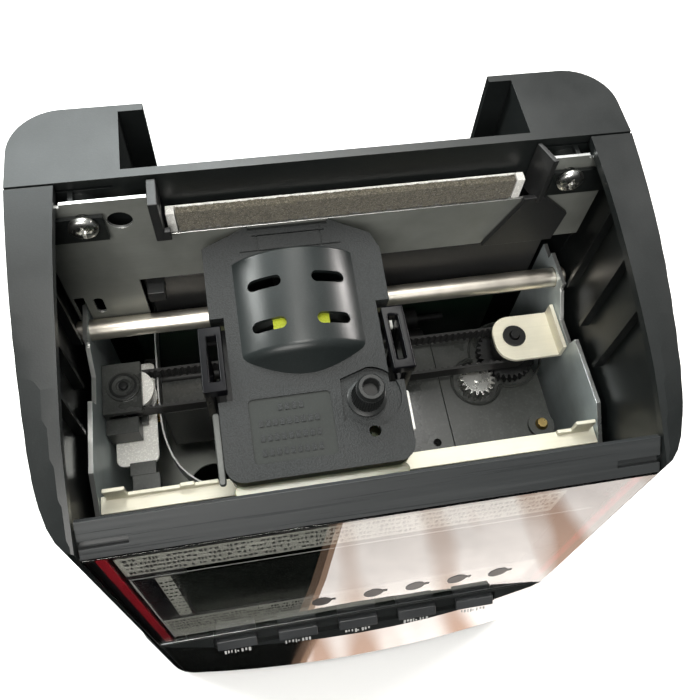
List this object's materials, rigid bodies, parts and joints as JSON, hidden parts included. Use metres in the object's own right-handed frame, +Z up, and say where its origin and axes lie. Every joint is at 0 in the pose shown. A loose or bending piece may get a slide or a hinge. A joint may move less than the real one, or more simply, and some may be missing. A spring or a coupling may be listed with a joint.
{
  "type": "time recorder",
  "caption": "Desktop time recorder with its top cover off: dot-matrix carriage with ribbon cassette, belt drive, card slot, display window and keys.",
  "frame": {"origin": "middle of the footprint, on the surface that the feet stand on", "axes": "+X to the right of someone facing the display, +Y to the back, +Z up"},
  "size_m": [0.158, 0.1202, 0.207],
  "materials": {
    "case_black": "satin, fine moulded texture",
    "bezel_grey": "satin painted plastic, fine horizontal brushing",
    "window_clear": "flat clear gloss",
    "mask_black": "gloss black print behind the window",
    "stripe_red": "gloss",
    "lcd_grey": "dark green-grey display glass",
    "board_green": "solder-masked circuit board",
    "key_grey": "satin",
    "steel_grey": "zinc-plated sheet, lightly brushed",
    "zinc_warm": "yellowish zinc-plated sheet",
    "shaft_steel": "ground and polished",
    "screw_steel": "bright zinc",
    "brass": "satin",
    "felt_brown": "speckled wool felt",
    "white_plastic": "satin",
    "cassette_grey": "pebbled dark grey",
    "cassette_olive": "smoky olive, slightly translucent",
    "knob_black": "satin gloss",
    "clip_black": "gloss",
    "nylon_black": "satin nylon",
    "nylon_grey": "satin nylon",
    "rubber_black": "matte",
    "cable_silver": "flat cable with printed conductors",
    "label_cream": "printed strip",
    "label_light": "printed strip",
    "print_white": "printed marks",
    "ribbon_black": "inked woven ribbon",
    "print_green": "yellow-green foil"
  },
  "bodies": {
    "root": {"base_cover": "case_black", "battery_pack": "white_plastic", "bracket_bush": "nylon_black", "card_guide_left": "nylon_black", "card_guide_right": "nylon_black", "card_plate": "steel_grey", "carriage_motor": "steel_grey", "carriage_shaft": "shaft_steel", "chassis_floor": "steel_grey", "chassis_left": "steel_grey", "chassis_right": "steel_grey", "deck_screw": "brass", "display_board": "board_green", "display_mask": "mask_black", "display_window": "window_clear", "feed_motor": "nylon_grey", "felt_holder": "white_plastic", "felt_strip": "felt_brown", "foot_1": "rubber_black", "foot_2": "rubber_black", "foot_3": "rubber_black", "foot_4": "rubber_black", "front_bezel": "bezel_grey", "front_rail": "zinc_warm", "gear_deck": "nylon_grey", "head_cable": "cable_silver", "idler_block": "nylon_black", "key_board": "board_green", "lcd_module": "lcd_grey", "lower_guide": "nylon_black", "main_board": "board_green", "main_case": "case_black", "motor_bracket": "zinc_warm", "plate_screw_left": "screw_steel", "plate_screw_right": "screw_steel", "power_inlet": "nylon_black", "rear_case": "case_black", "side_plate": "white_plastic", "timing_belt": "rubber_black", "transformer": "steel_grey", "window_trim_left": "stripe_red", "window_trim_right": "stripe_red"},
    "carriage": {"carriage": "nylon_black", "print_head": "nylon_grey"},
    "cassette": {"cassette_cover": "cassette_grey", "cassette_base": "cassette_olive"},
    "ribbon_knob": {"ribbon_knob": "knob_black"},
    "clip_left": {"cassette_clip_left": "clip_black"},
    "clip_right": {"cassette_clip_right": "clip_black"},
    "idler_pulley": {"idler_pulley": "white_plastic"},
    "drive_gear": {"drive_gear": "nylon_black"},
    "motor_pinion": {"motor_pinion": "screw_steel"},
    "key_1": {"mode_key_1": "key_grey"},
    "key_2": {"mode_key_2": "key_grey"},
    "key_3": {"mode_key_3": "key_grey"},
    "key_4": {"mode_key_4": "key_grey"},
    "key_5": {"mode_key_5": "key_grey"},
    "feed_roller": {"feed_roller": "rubber_black"},
    "pinch_roller": {"pinch_roller": "rubber_black"},
    "feed_pinion": {"feed_pinion": "brass"}
  },
  "joints": [
    {"name": "carriage_slide", "type": "slide", "parent": "root", "child": "carriage", "axis": [1, 0, 0], "range_m": [-0.022, 0.046]},
    {"name": "cassette_lift", "type": "slide", "parent": "carriage", "child": "cassette", "axis": [0, -0.1632, 0.9866], "range_m": [0, 0.03]},
    {"name": "knob_turn", "type": "hinge", "parent": "cassette", "child": "ribbon_knob", "pos_m": [0.0005, -0.01796, 0.18189], "axis": [0, -0.1632, 0.9866], "continuous": true},
    {"name": "clip_left_flex", "type": "hinge", "parent": "carriage", "child": "clip_left", "pos_m": [-0.0378, -0.00442, 0.15], "axis": [0, 1, 0], "range_deg": [-6, 0], "stiffness_Nm_per_rad": 0.3},
    {"name": "clip_right_flex", "type": "hinge", "parent": "carriage", "child": "clip_right", "pos_m": [0.0126, -0.00442, 0.15], "axis": [0, 1, 0], "range_deg": [0, 6], "stiffness_Nm_per_rad": 0.3},
    {"name": "idler_turn", "type": "hinge", "parent": "root", "child": "idler_pulley", "pos_m": [-0.0634, 0.01388, 0.1343], "axis": [0, 0, 1], "range_deg": [-215, 440]},
    {"name": "drive_turn", "type": "hinge", "parent": "root", "child": "drive_gear", "pos_m": [0.0578, 0.01388, 0.13], "axis": [0, 0, 1], "range_deg": [-215, 440]},
    {"name": "pinion_turn", "type": "hinge", "parent": "root", "child": "motor_pinion", "pos_m": [0.0456, 0.00532, 0.1285], "axis": [0, 0, 1], "range_deg": [-750, 360]},
    {"name": "key_1_press", "type": "slide", "parent": "root", "child": "key_1", "axis": [0, 0.7697, -0.6384], "range_m": [0, 0.001], "stiffness_N_per_m": 200},
    {"name": "key_2_press", "type": "slide", "parent": "root", "child": "key_2", "axis": [0, 0.7697, -0.6384], "range_m": [0, 0.001], "stiffness_N_per_m": 200},
    {"name": "key_3_press", "type": "slide", "parent": "root", "child": "key_3", "axis": [0, 0.7697, -0.6384], "range_m": [0, 0.001], "stiffness_N_per_m": 200},
    {"name": "key_4_press", "type": "slide", "parent": "root", "child": "key_4", "axis": [0, 0.7697, -0.6384], "range_m": [0, 0.001], "stiffness_N_per_m": 200},
    {"name": "key_5_press", "type": "slide", "parent": "root", "child": "key_5", "axis": [0, 0.7697, -0.6384], "range_m": [0, 0.001], "stiffness_N_per_m": 200},
    {"name": "feed_turn", "type": "hinge", "parent": "root", "child": "feed_roller", "pos_m": [0, 0.02708, 0.115], "axis": [1, 0, 0], "continuous": true},
    {"name": "pinch_turn", "type": "hinge", "parent": "root", "child": "pinch_roller", "pos_m": [0, 0.03888, 0.115], "axis": [1, 0, 0], "continuous": true},
    {"name": "feed_pinion_turn", "type": "hinge", "parent": "root", "child": "feed_pinion", "pos_m": [-0.06, 0.01608, 0.115], "axis": [1, 0, 0], "continuous": true}
  ],
  "couplings": [
    {"joint": "idler_turn", "follows": "carriage_slide", "rad_per_m": 163.93},
    {"joint": "drive_turn", "follows": "carriage_slide", "rad_per_m": 163.93},
    {"joint": "pinion_turn", "follows": "carriage_slide", "rad_per_m": -282.33},
    {"joint": "pinch_turn", "follows": "feed_turn", "ratio": -1.75},
    {"joint": "feed_pinion_turn", "follows": "feed_turn", "ratio": -2}
  ]
}
